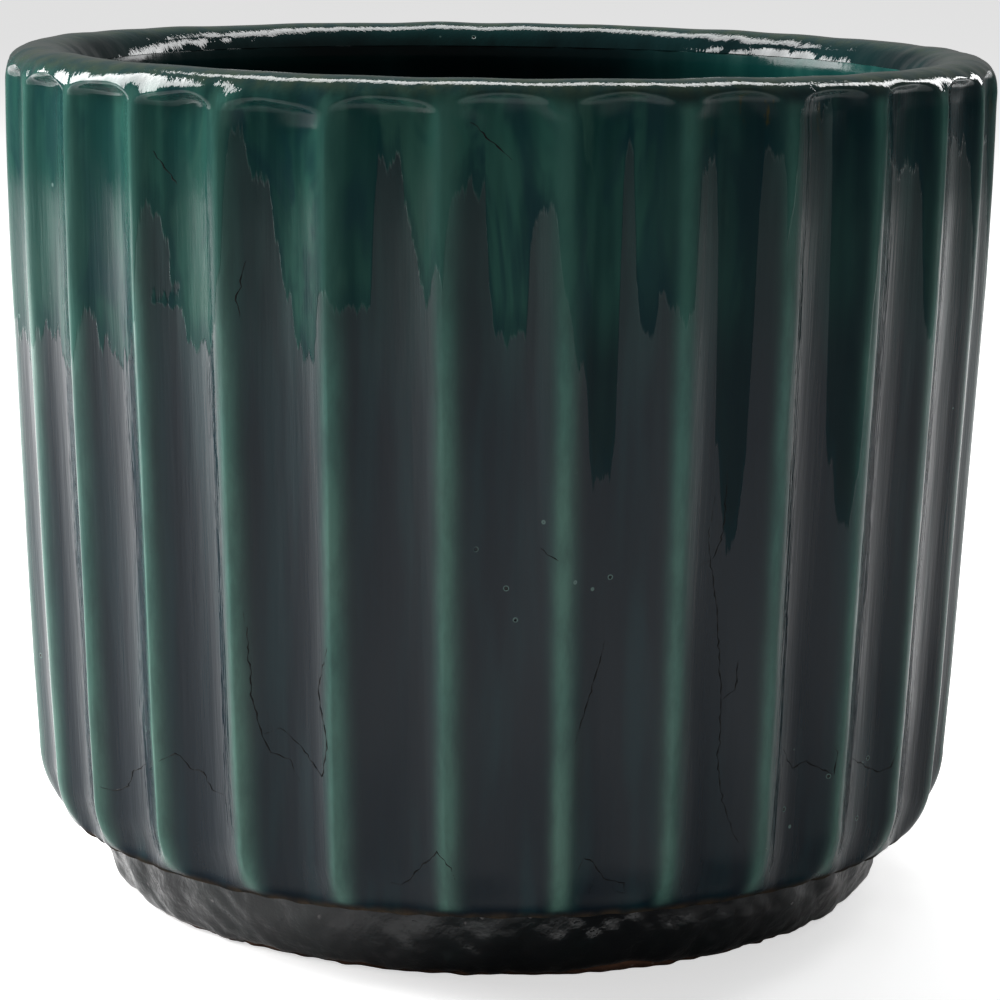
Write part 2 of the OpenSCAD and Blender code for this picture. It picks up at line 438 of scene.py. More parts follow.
def build_clay_shell():
    """The clay wall under the glaze and the rim band on it; they share the seam rings."""
    flute, across = columns(np.linspace(0, 1, 19)[:-1])
    corner_count, wall_count = 9, 26
    angles = [0, 6, 11, 16, 20, 24, 28, 32, 37, 43, 52, 66, 90, 115, 140]
    rings, _, _ = outside_rings(flute, across, corner_count, wall_count, angles, CLAY_INSET)
    below_roll = corner_count + wall_count
    roll = list(rings[below_roll:])
    above = next(i for i, ring in enumerate(roll) if ring[:, 2].mean() > BAND_Z)
    low, high = roll[above - 1], roll[above]
    part = (BAND_Z - low[:, 2]) / (high[:, 2] - low[:, 2])
    seam = low + (high - low) * part[:, None]
    theta = column_angle(flute, across, BAND_Z)
    inside = [polar(interp_table(z, CLAY_INSIDE), theta, float(z))
              for z in (BAND_Z, BULGE_Z, 260, 200, 140, 90, FLOOR_Z, FOOT_H)]
    wall = grid_mesh("body_wall_clay", [*rings[:below_roll], *roll[:above], seam, *inside])
    rim = grid_mesh("rim_band_clay", [seam, *roll[above:-1], inside[0]])
    return wall, rim


# ---------------------------------------------------------------- cavity glaze and floor
def arc(centre_r, centre_z, radius, start, end, count):
    return [(centre_r + radius * math.cos(math.radians(a)),
             centre_z + radius * math.sin(math.radians(a)))
            for a in np.linspace(start, end, count)]


def turned(name, profile, column_count, unevenness):
    """Turn a (radius, height) profile; unevenness gives each ring's offsets in both."""
    theta = np.linspace(0, 2 * np.pi, column_count, endpoint=False)
    rings = []
    for i, (r, z) in enumerate(profile):
        dr, dz = unevenness(i, r, z, theta)
        rings.append(polar(r + dr, theta, z + dz))
    return grid_mesh(name, rings)


def cavity_radius(z):
    """Inside radius of the cavity glaze."""
    if z > ROLL_Z - 2:
        return RIM_MID - (RIM_T / 2) * math.sqrt(1 - ((z - ROLL_Z) / ROLL_H) ** 2)
    return float(interp_table(z, CAVITY_LINE))


def build_cavity_glaze():
    """Down the wall, round a soft corner, over the floor to the drain hole, and back below."""
    top = FLOOR_Z + GLAZE_T
    corner = 14
    heights = [BAND_Z, BAND_Z - 0.16, *np.linspace(BAND_Z - 1.5, top + corner, 70)]
    seen = [(cavity_radius(z), z) for z in heights]
    throwing_end = len(seen) + 2                   # throwing marks end just inside the corner
    floor_r = seen[-1][0] - corner
    seen += arc(floor_r, top + corner, corner, 0, -90, 12)[1:]
    seen += [(r, top) for r in np.linspace(floor_r, 16, 26)[1:]]
    seen += arc(15.5, top - 2.4, 2.4, 90, 178, 6)[1:]
    seen += [(DRAIN_R, FLOOR_Z)]
    hidden = [(r, FLOOR_Z) for r in np.linspace(DRAIN_R + 3, FLOOR_R, 8)]
    hidden += [(float(interp_table(z, CLAY_INSIDE)), z)
               for z in (80, 140, 200, 260, BULGE_Z, BAND_Z)]

    def unevenness(i, r, z, theta):
        if i >= len(seen) or i == 0:
            return 0, 0
        if z > FLOOR_Z + 3 and i < throwing_end:
            fade = smooth_step(BAND_Z - z, 3.0, 30.0)
            throwing = (0.22 * math.sin(z * 0.62 + 1.5 * math.sin(z * 0.11))
                        + 0.12 * math.sin(z * 1.37))
            dr = (throwing + 0.35 * waves(31, theta, z, 12, (1, 7), (0.004, 0.03))) * fade
            return np.minimum(dr, 0.4), 0
        if 20 < r < 150:
            return 0, (0.35 + 0.3 * waves(32, theta, r, 12, (1, 6), (0.02, 0.06))
                       + 0.1 * math.sin(r * 0.5))
        return 0, 0

    return turned("inner_glaze_skin", seen + hidden, 288, unevenness)


def build_floor_slab():
    """The clay floor with a soft-edged drain hole and an uneven underside."""
    profile = [(DRAIN_R, FLOOR_Z), (DRAIN_R, FLOOR_Z - 6), (DRAIN_R, FOOT_H + 6)]
    profile += arc(DRAIN_R + 2.2, FOOT_H + 2.2, 2.2, 180, 270, 6)
    profile += [(r, FOOT_H) for r in np.linspace(22, FLOOR_R - 4, 22)]
    profile += [(FLOOR_R, FOOT_H), (FLOOR_R, FOOT_H + 10), (FLOOR_R, FLOOR_Z)]
    profile += [(r, FLOOR_Z) for r in (120, 80, 40)]

    def unevenness(i, r, z, theta):
        if abs(z - FOOT_H) < 0.01 and 16 < r < 122:
            return 0, (0.5 + 0.45 * waves(41, theta, r, 16, (1, 9), (0.03, 0.12))
                       + 0.15 * np.sin(r * 0.9 + 2 * np.cos(theta)))
        return 0, 0

    return turned("floor_slab_clay", profile, 224, unevenness)


# ---------------------------------------------------------------- foot
FOOT_THETA = np.linspace(0, 2 * np.pi, 900, endpoint=False)


def foot_side(z):
    """Outside radius of the clay foot, with finger and tool marks."""
    fade = smooth_step(FOOT_H - z, 0.0, 6.0)
    marks = (0.8 * waves(51, FOOT_THETA, z, 16, (3, 11), (0.02, 0.09))
             + 1.0 * waves(52, FOOT_THETA, z, 26, (14, 44), (0.05, 0.25))
             + 0.42 * waves(53, FOOT_THETA, z, 34, (40, 110), (0.25, 0.75)))
    return interp_table(z, FOOT_LINE) + (marks * fade - 0.35 * fade)


def build_foot_ring():
    worn = 0.8 + 0.8 * waves(57, FOOT_THETA, 0.0, 20, (30, 120), (0, 0))
    rings = []
    for z in [0.0, 0.5, 1.2, 2.2, 3.6, 5.5, 8, 11, 14.5, 18, 22, 26, FOOT_H]:
        rings.append(polar(foot_side(z) - np.exp(-z / 1.6) * worn, FOOT_THETA, z))
    # radius, height over the top, down the inside and under the foot
    profile = [(150, FOOT_H), (138, FOOT_H), (FOOT_IN_R, FOOT_H), (FOOT_IN_R, 24),
               (FOOT_IN_R, 16), (FOOT_IN_R + 0.3, 8), (FOOT_IN_R + 1, 3), (FOOT_IN_R + 3, 0.6),
               (FOOT_IN_R + 6, 0.0), (136, 0.0), (144, 0.0)]
    for r, z in profile:
        if 2 < z < 27 and r < 130:
            r = r + 0.7 * waves(58, FOOT_THETA, z, 18, (3, 20), (0.03, 0.1))
        rings.append(polar(r, FOOT_THETA, float(z)))
    return grid_mesh("foot_ring_clay", rings)


def build_foot_glaze():
    """Glaze over the same lumps, ending in a ragged bead above the ground."""
    ragged = np.clip(1.0 + 0.9 * waves(55, FOOT_THETA, 0.0, 20, (4, 30), (0, 0))
                     + 0.7 * waves(56, FOOT_THETA, 0.0, 24, (40, 130), (0, 0)), 0.0, 3.2)
    degrees = np.degrees(FOOT_THETA)
    bare = (np.exp(-((degrees - 288.5) / 6.0) ** 2)
            + 0.5 * np.exp(-((degrees - 150.0) / 4.0) ** 2))
    edge_z = 0.5 + ragged * 0.75 + 3.2 * bare
    rings, ups = [], []

    def add_ring(up, thick):
        z = edge_z + (FOOT_H - edge_z) * up
        rings.append(polar(foot_side(z) + thick, FOOT_THETA, z))
        ups.append(np.full(len(FOOT_THETA), up))

    for up in [0.0, 0.03, 0.08, 0.13, 0.18, 0.24, 0.3, 0.36, 0.42, 0.48, 0.54, 0.6, 0.66, 0.72,
               0.78, 0.84, 0.9, 0.95, 1.0]:
        bead = 0.35 * np.exp(-((up - 0.07) / 0.06) ** 2)
        add_ring(up, GLAZE_T * min(1.0, (up / 0.03) ** 0.5) + bead)
    for up in (1.0, 0.8, 0.6, 0.4, 0.2, 0.05):
        add_ring(up, 0.0)
    obj = grid_mesh("foot_glaze_skin", rings)
    set_attribute(obj, "up", np.array(ups))
    return obj


outer = build_outer_glaze()
wall, rim = build_clay_shell()
cavity = build_cavity_glaze()
floor_slab = build_floor_slab()
foot_ring = build_foot_ring()
foot_glaze = build_foot_glaze()
for part in (outer, wall, rim, cavity, floor_slab, foot_ring, foot_glaze):
    tidy(part)

# ---------------------------------------------------------------- camera pose
CAMERA_RANGE, CAMERA_Z = 1.38502, 0.42156          # m, in front of the axis and above the floor
PITCH, ROLL, YAW = 0.1907, 0.0137, 0.0013          # radians
CAMERA_LENS, SENSOR_W = 122.59944, 36              # mm


def camera_axes():
    forward = Vector((math.sin(YAW) * math.cos(PITCH), math.cos(YAW) * math.cos(PITCH),
                      -math.sin(PITCH)))
    level = Vector((math.cos(YAW), -math.sin(YAW), 0))
    upright = level.cross(forward)
    right = math.cos(ROLL) * level + math.sin(ROLL) * upright
    up = -math.sin(ROLL) * level + math.cos(ROLL) * upright
    return forward, right, up


CAMERA_AT = Vector((0, -CAMERA_RANGE, CAMERA_Z))
forward, right, up = camera_axes()

# ---------------------------------------------------------------- craze lines
SIGHT_PLANE = CAMERA_RANGE * 1000                  # mm from the camera
# Lines on the front: mm right of and above the line of sight, on a plane square to it at
# SIGHT_PLANE. They are carried along the camera's rays onto the glaze.
FRONT_CRACKS = [
    [(-139.0901, -106.5544), (-131.7696, -102.8941), (-126.0758, -108.9946),
     (-120.7888, -110.6214), (-117.1285, -117.9419), (-112.2481, -119.9754)],
    [(-104.5209, -45.5500), (-101.6740, -65.0714), (-100.8606, -81.3392), (-96.7937, -95.5736),
     (-93.5401, -102.4874), (-84.5928, -105.7410), (-81.3392, -114.6883)],
    [(-96.7937, -95.5736), (-89.4732, -92.7267), (-81.3392, -99.6406), (-72.3919, -112.2481),
     (-70.3584, -99.6406), (-74.0187, -77.2723), (-69.5450, -56.9375)],
    [(-163.4919, -116.3151), (-157.7981, -118.7553), (-151.2910, -116.3151),
     (-148.8508, -109.8080), (-143.1570, -106.5544)],
    [(-45.5500, -155.7646), (-38.6361, -156.1713), (-32.5357, -149.6642), (-25.6219, -143.1570),
     (-20.3348, -149.6642), (-18.3013, -154.5445)],
    [(31.3156, -151.2910), (33.7558, -145.5972), (37.8227, -147.2240), (41.8897, -153.7311),
     (49.6169, -156.1713), (51.2437, -159.8316), (45.5500, -158.6115)],
    [(87.4397, 1.6268), (84.5928, -16.2678), (87.8464, -40.6696), (89.0665, -61.0044),
     (90.2865, -81.3392), (88.6598, -105.7410), (90.2865, -122.0088), (95.5736, -137.4633),
     (100.8606, -143.9704), (105.7410, -144.7838)],
    [(90.2865, -81.3392), (95.5736, -77.2723), (96.7937, -65.0714)],
    [(115.0950, -100.8606), (118.7553, -108.9946), (124.4490, -106.5544), (129.3294, -108.9946),
     (135.8365, -111.4347), (137.4633, -102.4874), (133.3963, -98.4205)],
    [(143.1570, -104.9276), (149.6642, -108.9946), (154.5445, -110.6214), (158.6115, -108.9946),
     (161.8651, -100.0473)],
    [(30.5022, -99.6406), (35.7893, -81.3392), (43.1098, -56.9375)],
    [(81.3392, -26.8419), (86.2196, -24.4018), (90.2865, -16.2678), (92.7267, 12.2009)],
    [(-12.2009, 154.5445), (-4.0670, 146.4106), (4.8804, 138.2767)],
    [(-103.3008, 97.6071), (-107.3678, 81.3392), (-105.7410, 74.0187)],
    [(-142.3437, 142.3437), (-136.2432, 135.0231), (-130.1428, 126.0758)],
    [(24.4018, -24.4018), (16.2678, -19.5214)],
]
CRACK_R = 0.00033                                  # m
MM_PER_DEGREE = 3.4                                # round the wall
crack_rng = np.random.default_rng(314)
glaze_tree = BVHTree.FromPolygons([v.co for v in outer.data.vertices],
                                  [tuple(p.vertices) for p in outer.data.polygons])


def kinked(points, jag=0.28):
    """Fill a line of (degrees, mm height) points with small seeded kinks."""
    path = []
    for (a0, z0), (a1, z1) in zip(points[:-1], points[1:]):
        count = max(2, int(math.hypot((a1 - a0) * MM_PER_DEGREE, z1 - z0) / 1.6))
        for t in np.linspace(0, 1, count, endpoint=False):
            path.append((a0 + (a1 - a0) * t + crack_rng.normal(0, jag) / MM_PER_DEGREE,
                         z0 + (z1 - z0) * t + crack_rng.normal(0, jag)))
    path.append(points[-1])
    return path


def front_paths():
    paths = []
    for line in FRONT_CRACKS:
        points = []
        for x, y in line:
            ray = (forward + right * (x / SIGHT_PLANE) + up * (y / SIGHT_PLANE)).normalized()
            hit = glaze_tree.ray_cast(CAMERA_AT, ray, 5.0)[0]
            if hit is not None:
                points.append((math.degrees(math.atan2(hit.y, hit.x)), hit.z * 1000))
        if len(points) > 1:
            paths.append(kinked(points))
    return paths


def back_path():
    """A random walk over the wall on the back (+Y) side."""
    rng = crack_rng
    a = rng.uniform(10, 170)
    z = rng.uniform(52, 150) if rng.random() < 0.75 else rng.uniform(150, 300)
    points = [(a, z)]
    heading = rng.uniform(0, 2 * math.pi)
    for _ in range(int(rng.integers(3, 9))):
        heading += rng.normal(0, 0.7)
        step = rng.uniform(5, 16)
        a += step * math.cos(heading) / MM_PER_DEGREE
        z = min(max(z + step * math.sin(heading), 44), 318)
        points.append((a, z))
    return kinked(points)


def glaze_points(path):
    """The path's points on the glaze, each with its outward normal."""
    points = []
    for a, z in path:
        angle = math.radians(a)
        outward = Vector((math.cos(angle), math.sin(angle), 0))
        start = outward * 0.26 + Vector((0, 0, z / 1000))
        hit, normal, _, _ = glaze_tree.ray_cast(start, -outward, 0.12)
        if hit is None:
            continue
        if normal.dot(outward) < 0:
            normal = -normal
        points.append((hit, normal))
    return points


def build_cracks(paths):
    """Thin five-sided threads half sunk in the glaze, tapering at both ends."""
    section = ((1, 0), (0.5, 0.8), (-0.5, 0.8), (-1, 0), (0, -1))
    verts, faces = [], []
    for path in paths:
        base = len(verts)
        points = glaze_points(path)
        count = len(points)
        if count < 4:
            continue
        for i, (place, normal) in enumerate(points):
            along = (points[min(i + 1, count - 1)][0] - points[max(i - 1, 0)][0]).normalized()
            side = normal.cross(along).normalized()
            taper = 0.35 + 0.65 * min(1.0, 4.0 * min(i, count - 1 - i) / count)
            r = CRACK_R * taper * (0.8 + 0.35 * math.sin(i * 1.7))
            centre = place - normal * (CRACK_R * 0.25)
            for across, out in section:
                verts.append(centre + side * (r * across) + normal * (r * out))
        for i in range(count - 1):
            for j in range(5):
                a, b = base + i * 5 + j, base + i * 5 + (j + 1) % 5
                faces.append((a, b, b + 5, a + 5))
        faces.append(tuple(base + j for j in range(4, -1, -1)))
        faces.append(tuple(base + (count - 1) * 5 + j for j in range(5)))
    mesh = bpy.data.meshes.new("craze_lines")
    mesh.from_pydata([tuple(v) for v in verts], [], faces)
    mesh.update()
    return link_object("craze_lines", mesh)


cracks = build_cracks(front_paths() + [back_path() for _ in range(26)])


# ---------------------------------------------------------------- materials
class Mat:
    """A Principled material with short helpers that each add one kind of node."""

    def __init__(self, name):
        self.material = bpy.data.materials.new(name)
        self.material.use_nodes = True
        self.tree = self.material.node_tree
        self.tree.nodes.clear()
        self.out = self.node("ShaderNodeOutputMaterial")
        self.bsdf = self.node("ShaderNodeBsdfPrincipled")
        self.put(self.out.inputs[0], self.bsdf.outputs[0])

    def node(self, kind, **settings):
        node = self.tree.nodes.new(kind)
        for name, value in settings.items():
            setattr(node, name, value)
        return node

    def put(self, socket, value):
        if isinstance(value, bpy.types.NodeSocket):
            self.tree.links.new(value, socket)
        elif isinstance(value, tuple) and len(value) == 3 and socket.type == "RGBA":
            socket.default_value = (*value, 1)
        else:
            socket.default_value = value

    def fill(self, node, *values):
        for i, value in enumerate(values):
            self.put(node.inputs[i], value)
        return node.outputs[0]

    def math(self, operation, *values, clamp=False):
        return self.fill(self.node("ShaderNodeMath", operation=operation, use_clamp=clamp), *values)

    def mul(self, first, *rest):
        for value in rest:
            first = self.math("MULTIPLY", first, value)
        return first

    def add(self, first, *rest):
        for value in rest:
            first = self.math("ADD", first, value)
        return first

    def mix(self, factor, a, b):
        node = self.node("ShaderNodeMix", data_type="RGBA")
        for i, value in ((0, factor), (6, a), (7, b)):
            self.put(node.inputs[i], value)
        return node.outputs[2]

    def attribute(self, name):
        return self.node("ShaderNodeAttribute", attribute_name=name).outputs["Fac"]

    def ramp(self, value, start, end, low=0.0, high=1.0):
        """Smooth change from low to high as the value goes from start to end."""
        node = self.node("ShaderNodeMapRange", interpolation_type="SMOOTHSTEP")
        return self.fill(node, value, start, end, low, high)

    def coords(self, scale=None, loc=(0, 0, 0)):
        place = self.node("ShaderNodeTexCoord").outputs["Object"]
        if scale is None:
            return place
        mapping = self.node("ShaderNodeMapping")
        self.put(mapping.inputs[0], place)
        mapping.inputs["Scale"].default_value = scale
        mapping.inputs["Location"].default_value = loc
        return mapping.outputs[0]

    def split(self, vector):
        node = self.node("ShaderNodeSeparateXYZ")
        self.put(node.inputs[0], vector)
        return node.outputs

    def noise(self, vector, scale, detail=2.0, rough=0.55, distort=0.0):
        node = self.node("ShaderNodeTexNoise")
        for name, value in (("Vector", vector), ("Scale", scale), ("Detail", detail),
                            ("Roughness", rough), ("Distortion", distort)):
            self.put(node.inputs[name], value)
        return node.outputs["Fac"]

    def cell_distance(self, vector, scale):
        node = self.node("ShaderNodeTexVoronoi", feature="F1")
        self.put(node.inputs["Vector"], vector)
        self.put(node.inputs["Scale"], scale)
        return node.outputs["Distance"]

    def bump(self, height):
        node = self.node("ShaderNodeBump")
        for name, value in (("Strength", 1.0), ("Distance", 1.0), ("Height", height)):
            self.put(node.inputs[name], value)
        return node.outputs[0]

    def set(self, **inputs):
        for name, value in inputs.items():
            self.put(self.bsdf.inputs[name.replace("_", " ")], value)


# First coat: near-black with a blue cast, greener near its top.
LOW_DARK, LOW_BLUE = (0.0022, 0.0085, 0.0150), (0.0035, 0.0200, 0.0265)
LOW_TOP_DARK, LOW_TOP_GREEN = (0.010, 0.026, 0.027), (0.022, 0.055, 0.052)
# Second coat: green, with pools and pale spots; painted shade darkens it to the right and in its low
# reaches right of centre.
HIGH_DARK, HIGH_GREEN, HIGH_MID = (0.006, 0.034, 0.031), (0.020, 0.078, 0.062), (0.011, 0.050, 0.044)
POOL_BLUE, POOL_PALE = (0.005, 0.026, 0.032), (0.026, 0.078, 0.060)
RIGHT_LOW_SHADE, RIGHT_PAINTED_SHADE, BEAD_DARK = (0.003, 0.009, 0.014), (0.004, 0.0145, 0.018), (0.002, 0.02, 0.026)
# Thin glaze on the ridges.
RIDGE_A, RIDGE_B, RIDGE_UP = (0.035, 0.120, 0.098), (0.062, 0.150, 0.120), (0.028, 0.088, 0.072)
# the ridge colour for the right (+X) side is painted shade
RIDGE_FOOT, RIDGE_RIGHT_SHADE = (0.085, 0.17, 0.135), (0.05, 0.12, 0.11)
# Bottom edge, roll of the rim and its inner side.
EDGE_BROWN, OLIVE = (0.055, 0.04, 0.027), (0.035, 0.030, 0.008)
LIP_DARK, LIP_OLIVE = (0.012, 0.035, 0.034), (0.03, 0.05, 0.034)
RIM_IN_DARK, RIM_IN_GREEN = (0.002, 0.01, 0.011), (0.003, 0.022, 0.022)
PINHOLE_RIM, PINHOLE = (0.12, 0.2, 0.18), (0.003, 0.005, 0.005)
SHINE_LOW, SHINE_HIGH = 0.24, 0.07                 # specular level of the first, second coat


def outer_material():
    m = Mat("bottle_green_glaze")
    place = m.coords()
    tall = m.coords(scale=(1, 1, 0.022))
    z = m.split(place)[2]
    ridge, drip, roll = (m.attribute(name) for name in ("ridge", "drip", "roll"))
    broad = m.noise(place, scale=9.0)
    mottle = m.noise(m.coords(scale=(1, 1, 0.3)), scale=120.0, detail=4.0, rough=0.65)
    streak = m.noise(tall, scale=520.0, rough=0.7)
    wide = m.noise(m.coords(scale=(1, 1, 0.1)), scale=70.0, rough=0.6)
    # ragged edge of the second coat
    ragged = m.add(drip, m.mul(m.math("SUBTRACT", mottle, 0.5), 0.9),
                   m.mul(m.math("SUBTRACT", streak, 0.5), 0.7))
    second = m.ramp(ragged, -0.08, 0.08)
    # the two coats where they lie thick
    low = m.mix(m.ramp(wide, 0.42, 0.72), LOW_DARK, LOW_BLUE)
    high = m.mix(m.ramp(wide, 0.38, 0.64), HIGH_DARK, HIGH_GREEN)
    pool = m.noise(m.coords(scale=(1, 1, 0.35), loc=(0.7, 0.2, 0.4)), scale=42.0, detail=3.0,
                   rough=0.6, distort=0.8)
    high = m.mix(m.ramp(pool, 0.5, 0.66, high=0.75), high, POOL_BLUE)
    high = m.mix(m.ramp(pool, 0.46, 0.34, high=0.6), high, POOL_PALE)
    high = m.mix(m.ramp(broad, 0.4, 0.7, high=0.5), high, HIGH_MID)
    low_top = m.mix(m.ramp(wide, 0.4, 0.7), LOW_TOP_DARK, LOW_TOP_GREEN)
    low = m.mix(m.ramp(z, 0.21, 0.30, high=0.85), low, low_top)
    # painted shade: darker to the right (+X), away from the light on the left; the same side mask
    # also places the olive flecks under the roll
    right_shade_and_flecks = m.ramp(m.split(place)[0], 0.03, 0.10)
    # painted shade: the second coat darker still right of centre, below 0.275 m
    runs_and_right_shade = m.mul(m.ramp(m.split(place)[0], -0.02, 0.04), m.ramp(z, 0.275, 0.235))
    high = m.mix(m.mul(runs_and_right_shade, 0.8), high, RIGHT_LOW_SHADE)
    high = m.mix(m.mul(right_shade_and_flecks, m.ramp(wide, 0.3, 0.7, low=0.9, high=0.6)), high, RIGHT_PAINTED_SHADE)
    color = m.mix(second, low, high)
    # the coat is thickest just inside its edge
    bead = m.mul(m.ramp(ragged, -0.02, 0.1), m.ramp(ragged, 0.75, 0.15))
    color = m.mix(m.mul(bead, 0.45), color, BEAD_DARK)
    # thin glaze on the ridges
    thin = m.math("MULTIPLY", ridge, m.ramp(mottle, 0.3, 0.7, low=0.7, high=1.12), clamp=True)
    pale = m.mix(m.ramp(broad, 0.35, 0.65), RIDGE_A, RIDGE_B)
    pale = m.mix(m.mul(m.ramp(z, 0.15, 0.05), 0.5), pale, RIDGE_FOOT)
    # painted shade: duller ridges to the right (+X)
    pale = m.mix(m.mul(right_shade_and_flecks, 0.35), pale, RIDGE_RIGHT_SHADE)
    pale = m.mix(m.mul(m.ramp(z, 0.235, 0.27), 0.85), pale, RIDGE_UP)
    color = m.mix(thin, color, pale)
    # the bottom edge, where the glaze ran thin over the clay
    brown = m.mul(m.ramp(z, 0.0352, 0.0312), m.ramp(mottle, 0.3, 0.7, low=0.3))
    color = m.mix(brown, color, EDGE_BROWN)
    # the roll of the rim, with olive flecks just under it on the right
    on_roll = m.ramp(roll, 0.3, 0.5)
    lip = m.mix(m.ramp(mottle, 0.35, 0.65), LIP_DARK, LIP_OLIVE)
    rim_inside = m.mix(m.ramp(broad, 0.4, 0.6), RIM_IN_DARK, RIM_IN_GREEN)
    lip = m.mix(m.ramp(roll, 0.75, 0.95), lip, rim_inside)
    flecks = m.mul(m.ramp(z, 0.312, 0.327), m.ramp(mottle, 0.58, 0.66), m.ramp(broad, 0.4, 0.55),
                   right_shade_and_flecks)
    color = m.mix(flecks, color, OLIVE)
    color = m.mix(on_roll, color, lip)
    # pinholes with pale rims
    cell = m.cell_distance(place, scale=95.0)
    patch = m.ramp(broad, 0.60, 0.62)
    pit = m.mul(m.ramp(cell, 0.075, 0.05), patch)
    pit_rim = m.mul(m.ramp(cell, 0.115, 0.09), m.ramp(cell, 0.055, 0.08), patch)
    color = m.mix(m.mul(pit_rim, 0.7), color, PINHOLE_RIM)
    color = m.mix(pit, color, PINHOLE)
    rough = m.add(m.ramp(wide, 0.3, 0.75, low=0.015, high=0.05),
                  m.ramp(mottle, 0.6, 0.8, high=0.04))
    # shine drops on the second coat, except near the rim, and at the bottom edge
    cloud = m.noise(m.coords(scale=(1, 1, 0.25), loc=(0.3, 0.1, 0.2)), scale=34.0, detail=3.0,
                    rough=0.6, distort=0.6)
    dull = m.mul(second, m.ramp(cloud, 0.5, 0.62, low=1.0, high=0.88),
                 m.ramp(z, 0.325, 0.333, low=1.0, high=0.0), m.math("SUBTRACT", 1.0, on_roll))
    shine = m.math("MULTIPLY_ADD", dull, SHINE_HIGH - SHINE_LOW, SHINE_LOW)
    shine = m.mul(shine, m.ramp(z, 0.0325, 0.0385))
    # relief in metres
    relief = m.add(m.mul(streak, 0.00013), m.mul(wide, 0.0004), m.mul(mottle, 0.00008),
                   m.mul(second, 0.00012), m.mul(pit, -0.0004))
    m.set(Base_Color=color, Roughness=rough, Specular_IOR_Level=shine, IOR=1.5,
          Normal=m.bump(relief))
    return m.material


def inner_material():
    m = Mat("cavity_glaze")
    place = m.coords()
    broad = m.noise(place, scale=14.0)
    runs_and_right_shade = m.noise(m.coords(scale=(1, 1, 0.1)), scale=60.0, detail=3.0)
    grain = m.noise(place, scale=150.0)
    color = m.mix(m.ramp(broad, 0.3, 0.7), (0.0015, 0.003, 0.0035), (0.003, 0.010, 0.0105))
    color = m.mix(m.ramp(runs_and_right_shade, 0.5, 0.75, high=0.7), color, (0.004, 0.02, 0.02))
    # meets the colour of the roll at the top
    near_top = m.mul(m.ramp(m.split(place)[2], 0.29, 0.331), 0.8)
    rim_inside = m.mix(m.ramp(broad, 0.4, 0.6), RIM_IN_DARK, RIM_IN_GREEN)
    color = m.mix(near_top, color, rim_inside)
    # painted light: brighter green high on the right (+X), the inside wall lit across from the light
    # on the left
    axes = m.split(place)
    painted_light_right = m.mul(m.ramp(axes[0], 0.05, 0.15), m.ramp(axes[2], 0.24, 0.30), 0.8)
    green = m.mix(m.ramp(runs_and_right_shade, 0.35, 0.7), (0.004, 0.045, 0.040), (0.008, 0.075, 0.062))
    color = m.mix(painted_light_right, color, green)
    m.set(Base_Color=color, Roughness=m.ramp(runs_and_right_shade, 0.3, 0.8, low=0.12, high=0.28),
          Specular_IOR_Level=0.12, IOR=1.5,
          Normal=m.bump(m.add(m.mul(grain, 0.00012), m.mul(runs_and_right_shade, 0.0003))))
    return m.material


def foot_material():
    m = Mat("foot_glaze")
    place = m.coords()
    height = m.attribute("up")
    broad = m.noise(place, scale=30.0, detail=3.0)
    fine = m.noise(place, scale=160.0, detail=3.0, rough=0.65)
    color = m.mix(m.ramp(broad, 0.35, 0.7), (0.002, 0.003, 0.0045), (0.003, 0.007, 0.008))
    color = m.mix(m.ramp(fine, 0.6, 0.75, high=0.5), color, (0.008, 0.02, 0.02))
    # thin, brown and broken along the lower edge
    thin = m.mul(m.ramp(height, 0.09, 0.0), m.ramp(fine, 0.35, 0.6, low=0.25))
    color = m.mix(thin, color, (0.06, 0.036, 0.024))
    # pale scars, made bright enough to serve as painted glints
    cell = m.cell_distance(place, scale=120.0)
    scars_and_glints = m.mul(m.ramp(cell, 0.16, 0.08), m.ramp(broad, 0.53, 0.6))
    color = m.mix(m.mul(scars_and_glints, 0.7), color, (0.36, 0.34, 0.34))
    m.set(Base_Color=color, Roughness=m.ramp(broad, 0.3, 0.75, low=0.04, high=0.12),
          Specular_IOR_Level=0.5, IOR=1.5,
          Normal=m.bump(m.add(m.mul(fine, 0.0007), m.mul(broad, 0.0030))))
    return m.material


def clay_material():
    m = Mat("terracotta_clay")
    place = m.coords()
    broad = m.noise(place, scale=18.0, detail=3.0)
    fine = m.noise(place, scale=260.0, detail=5.0, rough=0.7)
    color = m.mix(m.ramp(broad, 0.3, 0.7), (0.19, 0.085, 0.05), (0.32, 0.155, 0.095))
    color = m.mix(m.ramp(fine, 0.58, 0.76, high=0.6), color, (0.45, 0.29, 0.21))
    color = m.mix(m.ramp(fine, 0.42, 0.27, high=0.65), color, (0.08, 0.042, 0.03))
    # soil and wear close to the ground
    soil = m.mul(m.ramp(m.split(place)[2], 0.005, 0.0), m.ramp(fine, 0.3, 0.6, low=0.9, high=0.5))
    color = m.mix(soil, color, (0.05, 0.035, 0.028))
    # pale grog
    cell = m.cell_distance(place, scale=240.0)
    grog = m.mul(m.ramp(cell, 0.2, 0.12), m.ramp(broad, 0.52, 0.6))
    color = m.mix(m.mul(grog, 0.6), color, (0.5, 0.42, 0.34))
    m.set(Base_Color=color, Roughness=m.ramp(fine, 0.2, 0.8, low=0.78, high=0.95),
          Specular_IOR_Level=0.25, Normal=m.bump(m.mul(fine, 0.0007)))
    return m.material


def crack_material():
    m = Mat("craze_line")
    grain = m.noise(m.coords(), scale=300.0)
    m.set(Base_Color=m.mix(grain, (0.001, 0.0015, 0.002), (0.004, 0.005, 0.005)),
          Roughness=m.ramp(grain, 0.3, 0.7, low=0.45, high=0.7), Specular_IOR_Level=0.2,
          Normal=m.bump(m.mul(grain, 0.00005)))
    return m.material


glaze, inside_glaze, low_glaze = outer_material(), inner_material(), foot_material()
clay = clay_material()
body = next(iter(frame["bodies"]))
